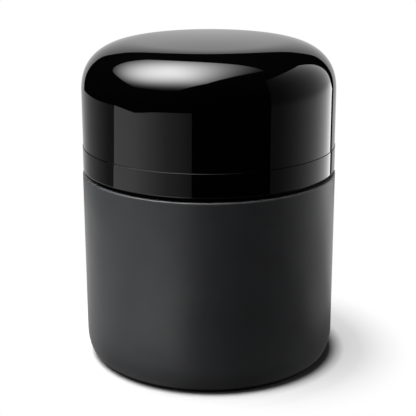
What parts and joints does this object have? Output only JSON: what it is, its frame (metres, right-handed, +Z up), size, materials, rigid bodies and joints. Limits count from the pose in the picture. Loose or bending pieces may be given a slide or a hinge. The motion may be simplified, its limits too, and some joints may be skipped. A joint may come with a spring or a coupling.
{
  "type": "candle tin",
  "caption": "Round candle tin with a rounded bottom corner, poured wax and a wick, and a glossy domed lid that lifts off a recessed neck.",
  "frame": {"origin": "centre of the underside, on the surface that the tin stands on", "axes": "+Z up along the tin's axis, out through the lid; the tin is round, so X and Y are alike"},
  "size_m": [0.08, 0.08, 0.1017],
  "materials": {
    "powder_coat": "matte powder coat, fine grain",
    "base_rubber": "matte, fine ribs",
    "black_collar": "black anodised, satin",
    "wax": "cream soy wax, soft satin",
    "foam_tape": "white foam tape",
    "tinplate": "bright tinplate",
    "cotton": "braided cotton, waxed",
    "gloss_lid": "high-gloss black",
    "liner_plastic": "satin black",
    "silicone": "grey silicone, soft satin"
  },
  "bodies": {
    "tin": {"tin_body": "powder_coat", "base_pad": "base_rubber", "neck_ring": "black_collar", "wax_fill": "wax", "wick_sticker": "foam_tape", "wick_tab": "tinplate", "wick": "cotton"},
    "lid": {"lid_shell": "gloss_lid", "lid_band": "gloss_lid", "lid_liner": "liner_plastic", "lid_gasket": "silicone"}
  },
  "joints": [
    {"name": "lid_lift", "type": "slide", "parent": "tin", "child": "lid", "axis": [0, 0, 1], "range_m": [0, 0.05]}
  ]
}
